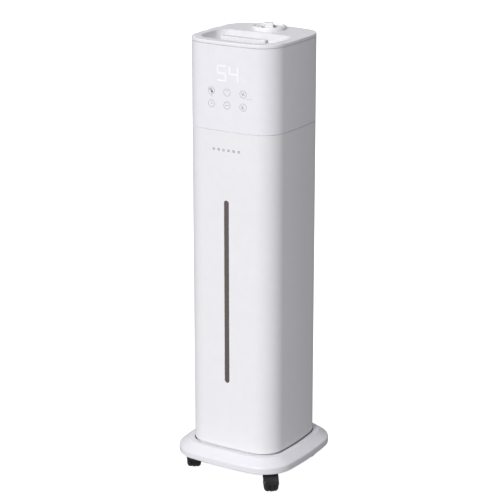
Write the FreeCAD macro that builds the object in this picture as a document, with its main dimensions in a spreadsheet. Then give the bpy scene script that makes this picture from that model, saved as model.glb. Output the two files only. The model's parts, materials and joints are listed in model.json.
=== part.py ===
import FreeCAD, Part
import Sketcher
import math
import os
from types import SimpleNamespace

# Floor-standing cool mist humidifier on a wheeled tray.
# Frame: origin on the floor under the middle of the tower, +Z up, the front faces -Y.

SIZES = [
    # tower outline
    ("body_half", 108.0, "half width of the tower across the middle of a side"),
    ("body_corner", 49.5, "radius of the tower's upright corners"),
    ("body_side", 656.0, "radius of the gently bowed sides"),
    ("wall", 3.0, "shell thickness"),
    ("tank_height", 686.0, "height of the tank shell"),
    ("head_height", 182.2, "height of the head with its cover"),
    ("cover_height", 6.6, "visible height of the top cover"),
    ("parting", 0.9, "gap at the cover's parting line"),
    ("cover_round", 1.8, "rounding of the cover's upper edge"),
    ("seam_round", 1.2, "rounding of the shell edges at the seams"),
    ("groove_high", 0.9, "height of the shadow groove round the tank's mouth"),
    ("groove_deep", 1.3, "depth of the shadow groove"),
    ("fit", 0.2, "clearance of one moulding inside another"),
    # tray
    ("tray_half", 139.5, "half width of the tray"),
    ("tray_corner", 70.0, "radius of the tray's corners"),
    ("tray_side", 710.0, "radius of the tray's bowed sides"),
    ("tray_clear", 42.8, "floor to the tray's lower edge"),
    ("tray_edge", 14.7, "height of the tray's side band"),
    ("tray_rise", 14.9, "rise of the sloping top"),
    ("tray_slope", 21.0, "width of the sloping top"),
    ("tray_round", 5.0, "rounding of the band's upper edge"),
    ("tray_wall", 5.0, "wall of the tray's side band"),
    ("tray_skin", 5.5, "thickness of the tray's floor"),
    ("tray_seam", 0.4, "gap between the two tray halves"),
    ("rib", 2.5, "thickness of the moulded ribs"),
    ("rib_drop", 9.0, "depth of the ribs under the tray"),
    ("seat_play", 1.3, "play between the tower's outline and the tray's seat"),
    ("seat_depth", 11.0, "depth of the seat in the tray"),
    ("foot_gap", 2.6, "shadow gap between the tray and the tower's shell"),
    # casters
    ("caster_x", 95.5, "caster swivel axis from the middle, across"),
    ("caster_y", 92.0, "caster swivel axis from the middle, front to back"),
    ("trail", 14.0, "swivel axis to axle"),
    ("wheel_radius", 19.0, "caster wheel radius"),
    ("wheel_width", 13.5, "width of one caster wheel"),
    ("wheel_round", 6.5, "rounding of a wheel's outer shoulder"),
    ("web", 7.6, "width of the hood's middle web"),
    ("hood_skin", 1.8, "thickness of the hood's fender"),
    ("hood_play", 1.0, "gap between a wheel and its hood"),
    ("hood_inset", 3.5, "how far the fender stops short of the wheels' outer faces"),
    ("web_clear", 3.0, "floor to the hood's middle web"),
    ("wheel_gap", 0.4, "gap between the middle web and a wheel"),
    ("axle_radius", 2.5, "caster axle radius"),
    ("stem_radius", 4.0, "caster stem radius"),
    ("stem_length", 20.0, "height of the stem above the hood"),
    ("running", 0.05, "radial clearance of a turning fit"),
    ("socket_wall", 2.0, "wall of the caster socket"),
    # tank
    ("base_skirt", 9.5, "how far the tank base stands below the shell"),
    ("base_floor", 5.5, "thickness of the tank's floor"),
    ("base_lap", 30.0, "height of the base's upstand inside the shell"),
    ("foot_radius", 11.0, "rubber foot radius"),
    ("foot_reach", 66.0, "rubber foot from the middle, both ways"),
    ("foot_high", 5.0, "rubber foot height"),
    ("slot_width", 11.5, "width of the water level slot"),
    ("slot_length", 396.0, "length of the water level slot"),
    ("slot_low", 147.1, "shell's lower edge to the slot"),
    ("window_play", 0.15, "gap round the level window"),
    ("window_sink", 0.6, "how far the window lies below the outer face"),
    ("flange", 7.0, "window flange beyond the slot"),
    ("flange_thick", 2.5, "thickness of the window flange"),
    ("gasket_thick", 1.0, "thickness of the window gasket"),
    # head
    ("spigot_depth", 15.0, "how far the head reaches into the tank"),
    ("spigot_wall", 2.5, "wall of the head's spigot"),
    ("seal_width", 2.4, "width of the sealing ring"),
    ("seal_high", 5.0, "height of the sealing ring"),
    ("plate", 3.0, "thickness of the inner plates"),
    ("basin_x", 88.0, "half length of the filling basin"),
    ("basin_rim", 19.5, "front rim between the outline and the basin"),
    ("basin_back", 12.0, "back edge of the basin at its ends"),
    ("basin_bow", 4.0, "how far the back edge bows to the rear"),
    ("basin_corner", 36.0, "radius of the basin's front corners"),
    ("basin_turn", 26.0, "radius of the basin's back corners"),
    ("basin_depth", 41.0, "depth of the filling basin"),
    ("basin_wall", 2.5, "wall of the basin"),
    ("grip_long", 106.0, "length of the carrying grip"),
    ("grip_thick", 15.0, "thickness of the grip"),
    ("grip_y", -38.5, "middle of the grip"),
    ("grip_sink", 2.0, "grip below the cover's face"),
    ("grip_bar", 13.0, "height of the grip's bar"),
    ("grip_leg", 14.0, "length of a grip leg"),
    ("strainer_y", -68.0, "middle of the strainer and the filling chute"),
    ("strainer_radius", 15.4, "strainer cup radius"),
    ("strainer_lip", 18.0, "strainer flange radius"),
    ("strainer_deep", 13.0, "depth of the strainer cup"),
    ("chute_bore", 16.0, "bore of the filling chute"),
    ("nozzle_x", -3.0, "nozzle axis, across"),
    ("nozzle_y", 62.5, "nozzle axis behind the middle"),
    ("well_radius", 35.8, "radius of the nozzle well"),
    ("well_depth", 9.4, "depth of the nozzle well"),
    ("cap_radius", 35.0, "nozzle cap radius"),
    ("cap_rise", 7.5, "nozzle cap above the cover"),
    ("cap_dish", 3.0, "depth of the dished top of the cap"),
    ("ridge_wide", 17.5, "width of the nozzle's turning ridge"),
    ("ridge_long", 16.0, "length of the nozzle's turning ridge"),
    ("ridge_rise", 5.5, "ridge above the cap's rim"),
    ("mouth_wide", 7.0, "width of a mist opening"),
    ("mouth_long", 24.0, "length of a mist opening"),
    ("duct_bore", 20.0, "bore of the mist duct"),
    ("duct_wall", 2.0, "wall of the mist duct"),
    ("chamber_y", 52.0, "mist chamber axis behind the middle"),
    ("chamber_radius", 44.0, "mist chamber outer radius"),
    ("chamber_top", 92.0, "head floor to the chamber's rim"),
    ("chamber_step", 20.0, "head floor to the chamber's own floor"),
    ("disc_radius", 23.0, "transducer housing radius"),
    ("fan_x", -74.0, "middle of the fan"),
    ("fan_y", 50.0, "fan axis behind the middle"),
    ("fan_up", 58.0, "fan axis above the head floor"),
    ("fan_side", 56.0, "side of the fan's frame"),
    ("fan_thick", 20.0, "thickness of the fan"),
    ("fan_bore", 26.0, "radius of the fan's throat"),
    ("fan_hub", 10.0, "radius of the fan's hub"),
    ("fan_pin", 1.5, "radius of the fan's pin"),
    ("grille_x", -17.0, "middle of the rear grille"),
    ("grille_wide", 72.0, "width of the rear grille opening"),
    ("grille_high", 46.0, "height of the rear grille opening"),
    ("grille_up", 34.0, "grille's middle above the head's lower edge"),
    ("grille_sink", 2.0, "how far the rear grille lies below the outer face"),
    ("filter_thick", 4.5, "thickness of the filter pad"),
    ("inlet_x", 42.0, "middle of the power inlet"),
    ("inlet_wide", 27.0, "width of the power inlet"),
    ("inlet_high", 19.0, "height of the power inlet"),
    ("inlet_sink", 1.6, "how far the power inlet lies below the outer face"),
    ("inlet_deep", 13.0, "depth of the inlet's socket"),
    ("riser_x", 62.0, "riser tube, across"),
    ("riser_y", 10.0, "riser tube, front to back"),
    ("riser_radius", 6.0, "riser tube radius"),
    ("riser_bore", 4.0, "riser tube bore radius"),
    ("riser_top", 70.0, "riser outlet above the head floor"),
    ("riser_bend", 15.0, "radius of the riser's bend"),
    ("pump_radius", 22.0, "pump housing radius"),
    ("pump_high", 44.0, "pump housing height"),
    ("pump_lift", 9.0, "tank floor to the pump's body"),
    ("panel_play", 2.2, "front wall to the lamps and pads behind it"),
    ("display_x", 2.2, "middle of the display panel"),
    ("digit_left", -27.0, "left end of the digit module"),
    ("digit_wide", 77.0, "width of the digit module"),
    ("digit_high", 35.0, "height of the digit module"),
    ("pad_radius", 5.0, "radius of a touch pad"),
    ("board_wide", 98.0, "width of the display board"),
    ("board_high", 92.0, "height of the display board"),
    ("board_thick", 1.6, "thickness of the circuit boards"),
    ("lamp_thick", 5.5, "thickness of the digit module"),
    ("key_pitch_x", 37.3, "pitch of the touch keys, across"),
    ("key_pitch_z", 26.4, "pitch of the touch keys, up"),
    ("key_up", 54.4, "lower key row above the head's lower edge"),
    ("digit_up", 119.3, "middle of the digits above the head's lower edge"),
]

NOZZLE_TURN = 31.8    # how far the nozzle is turned in its well, degrees

CASTERS = {
    # swivel angle of the trail in degrees, and the side of the tray: across, front to back
    "front_right": (-50.0, 1, -1),
    "front_left": (121.6, -1, -1),
    "rear_left": (98.0, -1, 1),
    "rear_right": (182.0, 1, 1),
}

AXIS_TURN = {
    "X": FreeCAD.Rotation(FreeCAD.Vector(0, 0, 1), FreeCAD.Vector(1, 0, 0)),
    "Y": FreeCAD.Rotation(FreeCAD.Vector(0, 0, 1), FreeCAD.Vector(0, 1, 0)),
    "Z": FreeCAD.Rotation(),
}

doc = FreeCAD.newDocument("humidifier")
nodes = []


# ---------------------------------------------------------------- sizes

class Size:
    """A size as a number, with the sheet expression that gives the same number."""

    def __init__(self, value, text):
        self.value = value
        self.text = text

    def combine(self, other, sign, value):
        return Size(value, "(%s %s %s)" % (self.text, sign, other.text))

    def __add__(self, other):
        other = as_size(other)
        return self.combine(other, "+", self.value + other.value)

    def __sub__(self, other):
        other = as_size(other)
        return self.combine(other, "-", self.value - other.value)

    def __mul__(self, other):
        other = as_size(other)
        return self.combine(other, "*", self.value * other.value)

    def __truediv__(self, other):
        other = as_size(other)
        return self.combine(other, "/", self.value / other.value)

    def __rsub__(self, other):
        return as_size(other) - self

    def __neg__(self):
        return as_size(0) - self

    __radd__ = __add__
    __rmul__ = __mul__


def as_size(thing):
    if isinstance(thing, Size):
        return thing
    return Size(float(thing), "(%r)" % float(thing))


def make_sheet():
    """Write the driving sizes into a spreadsheet and return them by name."""
    sheet = doc.addObject("Spreadsheet::Sheet", "dims")
    for row, (name, value, note) in enumerate(SIZES, start=1):
        sheet.set("A%d" % row, name)
        sheet.set("B%d" % row, "%g" % value)
        sheet.set("C%d" % row, note)
        sheet.setAlias("B%d" % row, name)
    doc.recompute()
    return SimpleNamespace(**{name: Size(value, "dims." + name) for name, value, _ in SIZES})


# ---------------------------------------------------------------- Part primitives

def bind(thing, **sizes):
    for name, size in sizes.items():
        thing.setExpression(name, as_size(size).text)


def place(thing, point):
    for letter, size in zip("xyz", point):
        thing.setExpression("Placement.Base." + letter, as_size(size).text)


def block(name, low, lengths):
    thing = doc.addObject("Part::Box", name)
    bind(thing, Length=lengths[0], Width=lengths[1], Height=lengths[2])
    place(thing, low)
    return thing


def drum(name, base, radius, length, axis="Z"):
    thing = doc.addObject("Part::Cylinder", name)
    thing.Placement = FreeCAD.Placement(FreeCAD.Vector(), AXIS_TURN[axis])
    bind(thing, Radius=radius, Height=length)
    place(thing, base)
    return thing


def fuse(name, parts):
    thing = doc.addObject("Part::MultiFuse", name)
    thing.Shapes = parts
    return thing


def cut(name, base, tools):
    thing = doc.addObject("Part::Cut", name)
    thing.Base = base
    thing.Tool = tools[0] if len(tools) == 1 else fuse(name + "_tools", tools)
    return thing


def group(name, parts):
    thing = doc.addObject("Part::Compound", name)
    thing.Links = parts
    return thing


def tube(name, base, outer, inner, length, axis="Z"):
    """A round tube, bored right through."""
    return cut(name, drum(name + "_outer", base, outer, length, axis),
               [drum(name + "_bore", base, inner, length, axis)])


def node(thing, label):
    thing.Label = label
    nodes.append(thing)
    return thing


# ---------------------------------------------------------------- PartDesign helpers

def new_body(name):
    return doc.addObject("PartDesign::Body", name)


def sketch_on(body, role, offset):
    """A sketch on one of the body's own origin planes, moved along the plane's normal."""
    plane = [item for item in body.Origin.OriginFeatures if item.Role == role][0]
    sketch = body.newObject("Sketcher::SketchObject", body.Name + "_sketch")
    sketch.AttachmentSupport = [(plane, "")]
    sketch.MapMode = "FlatFace"
    bind(sketch, **{"AttachmentOffset.Base.z": offset})
    return sketch


def hold(sketch, kind, where, size):
    """Add a constraint whose value follows the sheet."""
    size = as_size(size)
    index = sketch.addConstraint(Sketcher.Constraint(kind, *where, size.value))
    sketch.setExpression("Constraints[%d]" % index, size.text)


def link(sketch, kind, *where):
    sketch.addConstraint(Sketcher.Constraint(kind, *where))


def arc(centre, radius, start, end):
    circle = Part.Circle(FreeCAD.Vector(centre[0], centre[1], 0), FreeCAD.Vector(0, 0, 1), radius)
    return Part.ArcOfCircle(circle, start, end)


def line(start, end):
    return Part.LineSegment(FreeCAD.Vector(*start, 0), FreeCAD.Vector(*end, 0))


def join_ends(sketch, ids, kind="Tangent"):
    for first, second in zip(ids, ids[1:] + ids[:1]):
        link(sketch, kind, first, 2, second, 1)


def bowed_square(sketch, half, corner, side):
    """Rounded square with bowed sides: four side arcs and four corner arcs, all tangent."""
    reach = side.value - half.value
    gap = side.value - corner.value
    middle = (math.sqrt(2 * gap * gap - reach * reach) - reach) / 2
    lean = math.atan2(middle, middle + reach)
    shapes = []
    for quarter in range(4):
        turn = quarter * math.pi / 2
        cos, sin = math.cos(turn), math.sin(turn)
        shapes.append(arc((-reach * cos, -reach * sin), side.value, turn - lean, turn + lean))
        centre = (middle * (cos - sin), middle * (cos + sin))
        shapes.append(arc(centre, corner.value, turn + lean, turn + math.pi / 2 - lean))
    ids = list(sketch.addGeometry(shapes))
    join_ends(sketch, ids)
    for first, other in ((0, 2), (0, 4), (0, 6), (1, 3), (1, 5), (1, 7)):
        link(sketch, "Equal", ids[first], ids[other])
    hold(sketch, "Radius", (ids[0],), side)
    hold(sketch, "Radius", (ids[1],), corner)
    for index, axis in ((0, -1), (4, -1), (2, -2), (6, -2)):
        link(sketch, "PointOnObject", ids[index], 3, axis)
    hold(sketch, "DistanceX", (ids[0], 3, -1, 1), side - half)
    hold(sketch, "DistanceX", (-1, 1, ids[4], 3), side - half)
    hold(sketch, "DistanceY", (ids[2], 3, -1, 1), side - half)
    hold(sketch, "DistanceY", (-1, 1, ids[6], 3), side - half)


def tower_outline(body, height, inset=0):
    """The tower's outline at a height, moved inwards by a parallel offset."""
    sketch = sketch_on(body, "XY_Plane", height)
    bowed_square(sketch, D.body_half - inset, D.body_corner - inset, D.body_side - inset)
    return sketch


def tray_outline(body, height, inset=0):
    sketch = sketch_on(body, "XY_Plane", height)
    bowed_square(sketch, D.tray_half - inset, D.tray_corner - inset, D.tray_side - inset)
    return sketch


def circles(sketch, spots):
    """Circles given as (u, v, radius)."""
    for across, up, radius in spots:
        across, up, radius = as_size(across), as_size(up), as_size(radius)
        circle = Part.Circle(FreeCAD.Vector(across.value, up.value, 0),
                             FreeCAD.Vector(0, 0, 1), radius.value)
        index = sketch.addGeometry(circle)
        hold(sketch, "Radius", (index,), radius)
        hold(sketch, "DistanceX", (-1, 1, index, 3), across)
        hold(sketch, "DistanceY", (-1, 1, index, 3), up)


def polygon(sketch, points):
    """A closed run of straight lines through points given as (u, v)."""
    points = [(as_size(across), as_size(up)) for across, up in points]
    pairs = zip(points, points[1:] + points[:1])
    ids = list(sketch.addGeometry([line((a.value, b.value), (c.value, d.value))
                                   for (a, b), (c, d) in pairs]))
    join_ends(sketch, ids, "Coincident")
    for index, (across, up) in zip(ids, points):
        hold(sketch, "DistanceX", (-1, 1, index, 1), across)
        hold(sketch, "DistanceY", (-1, 1, index, 1), up)


def stadium(sketch, across, low, width, length):
    """An upright slot with round ends, from its lower end."""
    across, low, width, length = (as_size(item) for item in (across, low, width, length))
    radius = width.value / 2
    left, right = across.value - radius, across.value + radius
    bottom, top = low.value + radius, low.value + length.value - radius
    ids = list(sketch.addGeometry([
        line((right, bottom), (right, top)),
        arc((across.value, top), radius, 0, math.pi),
        line((left, top), (left, bottom)),
        arc((across.value, bottom), radius, math.pi, 2 * math.pi)]))
    join_ends(sketch, ids)
    hold(sketch, "Radius", (ids[1],), width / 2)
    hold(sketch, "DistanceX", (-1, 1, ids[1], 3), across)
    hold(sketch, "DistanceY", (-1, 1, ids[1], 3), low + length - width / 2)
    hold(sketch, "DistanceX", (-1, 1, ids[3], 3), across)
    hold(sketch, "DistanceY", (-1, 1, ids[3], 3), low + width / 2)


def soft_box(sketch, middle, lengths, radius):
    """A rectangle with round corners about a middle point."""
    across, up = (as_size(item) for item in middle)
    wide, high = (as_size(item) for item in lengths)
    radius = as_size(radius)
    left, right = across - wide / 2, across + wide / 2
    low, top = up - high / 2, up + high / 2
    r = radius.value
    ids = list(sketch.addGeometry([
        line((left.value + r, low.value), (right.value - r, low.value)),
        arc((right.value - r, low.value + r), r, -math.pi / 2, 0),
        line((right.value, low.value + r), (right.value, top.value - r)),
        arc((right.value - r, top.value - r), r, 0, math.pi / 2),
        line((right.value - r, top.value), (left.value + r, top.value)),
        arc((left.value + r, top.value - r), r, math.pi / 2, math.pi),
        line((left.value, top.value - r), (left.value, low.value + r)),
        arc((left.value + r, low.value + r), r, math.pi, 3 * math.pi / 2)]))
    join_ends(sketch, ids)
    for index, kind in ((0, "Horizontal"), (2, "Vertical"), (4, "Horizontal"), (6, "Vertical")):
        link(sketch, kind, ids[index])
    for index in (3, 5, 7):
        link(sketch, "Equal", ids[1], ids[index])
    hold(sketch, "Radius", (ids[1],), radius)
    hold(sketch, "DistanceY", (-1, 1, ids[0], 1), low)
    hold(sketch, "DistanceX", (-1, 1, ids[2], 1), right)
    hold(sketch, "DistanceY", (-1, 1, ids[4], 1), top)
    hold(sketch, "DistanceX", (-1, 1, ids[6], 1), left)


def pad(body, sketch, length, back=False):
    feature = body.newObject("PartDesign::Pad", body.Name + "_pad")
    feature.Profile = sketch
    feature.Reversed = back
    bind(feature, Length=length)
    doc.recompute()
    return feature


def pocket(body, sketch, length, ahead=False):
    """Cut from the sketch, against its normal, or along it when ahead is set."""
    volume = body.Shape.Volume
    feature = body.newObject("PartDesign::Pocket", body.Name + "_pocket")
    feature.Profile = sketch
    feature.Reversed = ahead
    bind(feature, Length=length)
    doc.recompute()
    if body.Shape.Volume >= volume:
        raise ValueError("a pocket cuts nothing: " + body.Name)
    return feature


def revolve(body, points):
    """Turn a profile of (radius, height) points about the body's Z axis."""
    sketch = sketch_on(body, "XZ_Plane", 0)
    polygon(sketch, points)
    feature = body.newObject("PartDesign::Revolution", body.Name + "_turned")
    feature.Profile = sketch
    feature.ReferenceAxis = (sketch, ["V_Axis"])
    feature.Angle = 360.0
    doc.recompute()
    return feature


def round_edges(body, radius, chosen):
    """Fillet the edges of the body's last shape that the test picks."""
    last = body.Tip
    names = ["Edge%d" % (index + 1) for index, edge in enumerate(last.Shape.Edges) if chosen(edge)]
    feature = body.newObject("PartDesign::Fillet", body.Name + "_round")
    feature.Base = (last, names)
    bind(feature, Radius=radius)
    doc.recompute()
    return feature


def level_edge(height, reach=0.0):
    """A test for edges that lie at a height, and outside a square of a half width."""
    def chosen(edge):
        box = edge.BoundBox
        middle = edge.valueAt((edge.FirstParameter + edge.LastParameter) / 2)
        outside = math.hypot(middle.x, middle.y) > reach
        return abs(box.ZMin - height) < 0.01 and abs(box.ZMax - height) < 0.01 and outside
    return chosen


D = make_sheet()

# Heights above the floor.
Z = SimpleNamespace()
Z.band = D.tray_clear + D.tray_edge
Z.ring = Z.band + D.tray_rise
Z.seat = Z.ring - D.seat_depth
Z.under = Z.band + D.tray_round / 2 - D.tray_skin
Z.tank = Z.ring + D.foot_gap
Z.base = Z.tank - D.base_skirt
Z.water = Z.base + D.base_floor
Z.seam = Z.tank + D.tank_height
Z.top = Z.seam + D.head_height
Z.cover = Z.top - D.cover_height
Z.floor = Z.seam + D.plate + D.fit
Z.basin = Z.top - D.basin_depth
Z.well = Z.top - D.well_depth
Z.socket = D.tray_clear + D.plate


# ---------------------------------------------------------------- tray

def tray_moulding(name):
    """The whole tray before it is split: band, sloping top, seat and hollow underside."""
    body = new_body(name)
    pad(body, tray_outline(body, D.tray_clear), D.tray_edge)
    slope = body.newObject("PartDesign::AdditiveLoft", name + "_slope")
    low = tray_outline(body, Z.band)
    high = tray_outline(body, Z.ring, D.tray_slope)
    slope.Profile = low
    slope.Sections = [high]
    slope.Ruled = True
    doc.recompute()
    round_edges(body, D.tray_round, level_edge(Z.band.value))
    round_edges(body, D.tray_round / 2, level_edge(D.tray_clear.value))
    pocket(body, tower_outline(body, Z.ring, -D.seat_play), D.seat_depth)
    pocket(body, tray_outline(body, D.tray_clear, D.tray_wall), Z.under - D.tray_clear, ahead=True)
    return body


def caster_spots():
    return [(D.caster_x * across, D.caster_y * ahead) for _, across, ahead in CASTERS.values()]


def tray_bosses():
    """Bosses that hold the caster sockets, and ribs under the tray's floor."""
    parts = []
    outer = D.stem_radius + D.socket_wall + 4
    for number, (x, y) in enumerate(caster_spots()):
        parts.append(drum("boss_%d" % number, (x, y, Z.socket), outer, Z.under - Z.socket))
    span = D.tray_half * 2 - D.tray_wall * 2
    for number, side in enumerate((-1, 1)):
        along = D.foot_reach * side - D.rib / 2
        low = Z.under - D.rib_drop
        parts.append(block("rib_x_%d" % number, (-span / 2, along, low), (span, D.rib, D.rib_drop)))
        parts.append(block("rib_y_%d" % number, (along, -span / 2, low), (D.rib, span, D.rib_drop)))
    return parts


def make_tray():
    """Front and rear halves that meet along the middle of the tray."""
    bores = []
    for number, (x, y) in enumerate(caster_spots()):
        bores.append(drum("socket_bore_%d" % number, (x, y, Z.socket),
                          D.stem_radius + D.socket_wall, Z.under - Z.socket))
    whole = cut("tray_bored", fuse("tray_ribbed", [tray_moulding("tray")] + tray_bosses()), bores)
    span = D.tray_half * 2 + 20
    for label, side in (("tray_front", 0), ("tray_rear", 1)):
        low = -D.tray_seam / 2 if side == 0 else D.tray_seam / 2 - span
        away = block(label + "_away", (-span / 2, low, 0), (span, span, Z.ring + 20))
        node(cut(label, whole, [away]), label)


def make_tray_fixings():
    """Two joint plates under the tray's floor, with their screws."""
    reach = 34
    plates = []
    screws = []
    for across in (-1, 1):
        middle = D.foot_reach * across * 0.5
        low = (middle - 20, -reach, Z.under - D.plate)
        plates.append(block("joint_plate", low, (40, 2 * reach, D.plate)))
        for ahead in (-1, 1):
            spot = (middle, 22 * ahead, Z.under - D.plate - 2.4)
            screws.append(drum("joint_screw", spot, 4, 2.4))
    node(group("tray_joint_plates", plates), "tray_joint_plates")
    node(group("tray_screws", screws), "tray_screws")


# ---------------------------------------------------------------- casters

def make_sockets():
    parts = []
    for x, y in caster_spots():
        parts.append(tube("socket", (x, y, Z.socket), D.stem_radius + D.socket_wall,
                          D.stem_radius + D.running, Z.under - Z.socket))
    node(group("caster_sockets", parts), "caster_sockets")


def caster_hood(name):
    """Fender over both wheels, middle web and the boss under the swivel stem."""
    outer = D.wheel_radius + D.hood_play + D.hood_skin
    width = D.web + (D.wheel_gap + D.wheel_width - D.hood_inset) * 2
    axle = (-D.trail, -width / 2, D.wheel_radius)
    shell = drum(name + "_shell", axle, outer, width, "Y")
    inner = D.wheel_radius + D.hood_play
    rooms = []
    for number, low in enumerate((-width / 2, D.web / 2)):
        spot = (-D.trail, low, D.wheel_radius)
        rooms.append(drum("%s_room_%d" % (name, number), spot, inner, (width - D.web) / 2, "Y"))
    under = block(name + "_under", (-D.trail - outer, -width / 2, -D.wheel_radius),
                  (outer * 2, width, D.wheel_radius * 2 + 2))
    fender = cut(name + "_fender", shell, rooms + [under])
    top = D.tray_clear - 0.5
    web = drum(name + "_web", (-D.trail, -D.web / 2, D.wheel_radius), inner, D.web, "Y")
    lower = block(name + "_lower", (-D.trail - outer, -D.web, -outer),
                  (outer * 2, D.web * 2, outer + D.web_clear))
    boss = drum(name + "_boss", (0, 0, D.wheel_radius + 4), D.stem_radius + 3.2,
                top - D.wheel_radius - 4)
    solid = fuse(name + "_solid", [fender, cut(name + "_plate", web, [lower]), boss])
    clear = []
    for number, low in enumerate((-width / 2, D.web / 2)):
        spot = (-D.trail, low, D.wheel_radius)
        clear.append(drum("%s_clear_%d" % (name, number), spot, inner, (width - D.web) / 2, "Y"))
    clear.append(drum(name + "_axle_hole", (-D.trail, -D.web, D.wheel_radius), D.axle_radius,
                      D.web * 2, "Y"))
    clear.append(drum(name + "_stem_hole", (0, 0, top - 10), D.stem_radius, 10))
    return cut(name, solid, clear)


def caster_wheel(name):
    """Wheel with a rounded outer shoulder and a dished, ribbed face, turned about Z."""
    body = new_body(name)
    rim, wide, turn = D.wheel_radius, D.wheel_width, D.wheel_round
    bore = D.axle_radius + D.running
    half_turn = turn * 0.3
    revolve(body, [
        (bore, 0), (rim - 1, 0), (rim, 1), (rim, wide - turn), (rim - half_turn, wide - turn * 0.3),
        (rim - turn, wide), (rim - turn - 1.5, wide), (rim - turn - 2.5, wide - 1.5),
        (bore + 3.5, wide - 1.5), (bore + 3, wide - 0.2), (bore, wide - 0.2)])
    return body


def turned(thing, x, y, degrees, height=0.0, offset=(0.0, 0.0), flip=None):
    """Put a piece made at the swivel axis onto its caster, turned to the caster's angle."""
    turn = FreeCAD.Rotation(FreeCAD.Vector(0, 0, 1), degrees)
    if flip is not None:
        turn = turn.multiply(flip)
    thing.Placement = FreeCAD.Placement(FreeCAD.Vector(), turn)
    cos, sin = math.cos(math.radians(degrees)), math.sin(math.radians(degrees))
    ahead, aside = offset
    place(thing, (x + ahead * cos - aside * sin, y + ahead * sin + aside * cos, height))
    return thing


def make_casters():
    """Four twin-wheel swivel casters; the wheels trail behind the stem."""
    half = D.web / 2 + D.wheel_gap
    for name, (degrees, across, ahead) in CASTERS.items():
        x, y = D.caster_x * across, D.caster_y * ahead
        away = degrees + 180.0
        hood = caster_hood("hood_" + name)
        node(turned(hood, x, y, away), "caster_hood_" + name)
        low = D.tray_clear - 10.5
        stem = drum("stem_" + name, (x, y, low), D.stem_radius, D.stem_length)
        node(stem, "caster_stem_" + name)
        axle = doc.addObject("Part::Cylinder", "axle_" + name)
        long = D.web + D.wheel_width * 2 - 1
        bind(axle, Radius=D.axle_radius, Height=long)
        node(turned(axle, x, y, away, D.wheel_radius, (-D.trail, -long / 2), AXIS_TURN["Y"]),
             "caster_axle_" + name)
        flips = {"left": (AXIS_TURN["Y"], half),
                 "right": (FreeCAD.Rotation(FreeCAD.Vector(1, 0, 0), 90), -half)}
        for side, (flip, aside) in flips.items():
            wheel = caster_wheel("wheel_%s_%s" % (name, side))
            node(turned(wheel, x, y, away, D.wheel_radius, (-D.trail, aside), flip),
                 "wheel_%s_%s" % (name, side))


# ---------------------------------------------------------------- tank

def make_tank_shell():
    """Upright moulded shell, open at both ends, with the level slot in its front."""
    body = new_body("tank_shell")
    pad(body, tower_outline(body, Z.tank), D.tank_height)
    round_edges(body, D.seam_round, level_edge(Z.tank.value))
    pocket(body, tower_outline(body, Z.seam, D.wall), D.tank_height)
    groove = tower_outline(body, Z.seam, D.groove_deep)
    bowed_square(groove, D.body_half + 1, D.body_corner + 1, D.body_side + 1)
    pocket(body, groove, D.groove_high)
    sketch = sketch_on(body, "XZ_Plane", D.body_half - D.wall * 2)
    stadium(sketch, 0, Z.tank + D.slot_low, D.slot_width, D.slot_length)
    pocket(body, sketch, D.wall * 3, ahead=True)
    node(body, "tank_shell")


def make_tank_base():
    """Tank floor with an upstand bonded inside the shell and pockets for the feet."""
    body = new_body("tank_base")
    inset = D.wall + D.fit
    pad(body, tower_outline(body, Z.base, inset), D.base_skirt + D.base_lap)
    pocket(body, tower_outline(body, Z.tank + D.base_lap, inset + D.wall),
           D.base_skirt + D.base_lap - D.base_floor)
    sketch = sketch_on(body, "XY_Plane", Z.base)
    reach = D.foot_reach
    circles(sketch, [(reach * across, reach * ahead, D.foot_radius + D.fit)
                     for across in (-1, 1) for ahead in (-1, 1)])
    pocket(body, sketch, D.foot_high - (Z.base - Z.seat), ahead=True)
    node(body, "tank_base")


def make_feet():
    parts = []
    for across in (-1, 1):
        for ahead in (-1, 1):
            spot = (D.foot_reach * across, D.foot_reach * ahead, Z.seat)
            parts.append(drum("foot", spot, D.foot_radius, D.foot_high))
    node(group("tower_feet", parts), "tower_feet")


def make_window():
    """Smoked level window: a strip that fills the slot, on a flange behind the wall."""
    back = D.body_half - D.wall
    low = Z.tank + D.slot_low
    face = back - D.fit - D.gasket_thick
    flange = new_body("level_window")
    sketch = sketch_on(flange, "XZ_Plane", face - D.flange_thick)
    stadium(sketch, 0, low - D.flange, D.slot_width + D.flange * 2, D.slot_length + D.flange * 2)
    pad(flange, sketch, D.flange_thick)
    strip = sketch_on(flange, "XZ_Plane", face)
    play = D.window_play
    stadium(strip, 0, low + play, D.slot_width - play * 2, D.slot_length - play * 2)
    pad(flange, strip, D.body_half - D.window_sink - face)
    node(flange, "level_window")
    gasket = new_body("window_gasket")
    sketch = sketch_on(gasket, "XZ_Plane", face)
    stadium(sketch, 0, low - D.flange, D.slot_width + D.flange * 2, D.slot_length + D.flange * 2)
    pad(gasket, sketch, D.gasket_thick)
    hole = sketch_on(gasket, "XZ_Plane", face)
    stadium(hole, 0, low, D.slot_width, D.slot_length)
    pocket(gasket, hole, D.gasket_thick, ahead=True)
    node(gasket, "window_gasket")


# ---------------------------------------------------------------- head casing

def make_head_shell():
    """Shell of the head, open at the top and bottom, with the rear openings."""
    body = new_body("head_shell")
    high = D.head_height - D.cover_height - D.parting
    pad(body, tower_outline(body, Z.seam), high)
    round_edges(body, D.seam_round, level_edge(Z.seam.value))
    pocket(body, tower_outline(body, Z.seam + high, D.wall), high)
    sketch = sketch_on(body, "XZ_Plane", D.wall * 2 - D.body_half)
    soft_box(sketch, (D.grille_x, Z.seam + D.grille_up), (D.grille_wide, D.grille_high), 6)
    soft_box(sketch, (D.inlet_x, Z.seam + D.grille_up), (D.inlet_wide, D.inlet_high), 3)
    pocket(body, sketch, D.wall * 3)
    node(body, "head_shell")


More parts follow.
